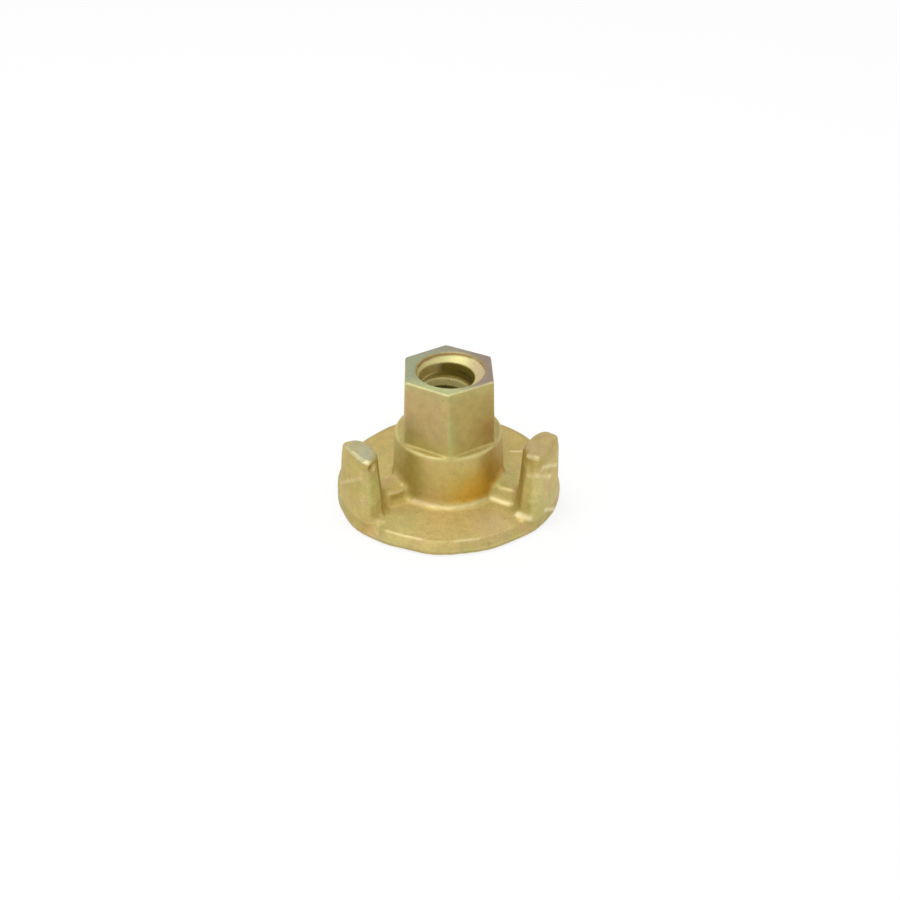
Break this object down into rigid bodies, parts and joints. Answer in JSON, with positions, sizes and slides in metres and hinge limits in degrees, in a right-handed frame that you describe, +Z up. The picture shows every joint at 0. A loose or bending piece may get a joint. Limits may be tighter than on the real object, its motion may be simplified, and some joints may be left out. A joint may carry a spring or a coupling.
{
  "type": "three wing anchor nut",
  "caption": "Forged steel nut for a threaded tie bar: round bearing flange, stepped hub with a hexagon, and three upright wings on the rim.",
  "frame": {"origin": "centre of the flat bearing face, on the axis of the threaded bore", "axes": "+Z up the bore from the bearing face to the hexagon; +Y from the axis towards one wing"},
  "size_m": [0.1, 0.1, 0.06],
  "materials": {
    "plated_steel": "yellow passivated zinc plate on forged steel, satin, with green and pink tints"
  },
  "bodies": {
    "root": {"anchor_nut": "plated_steel"}
  },
  "joints": []
}
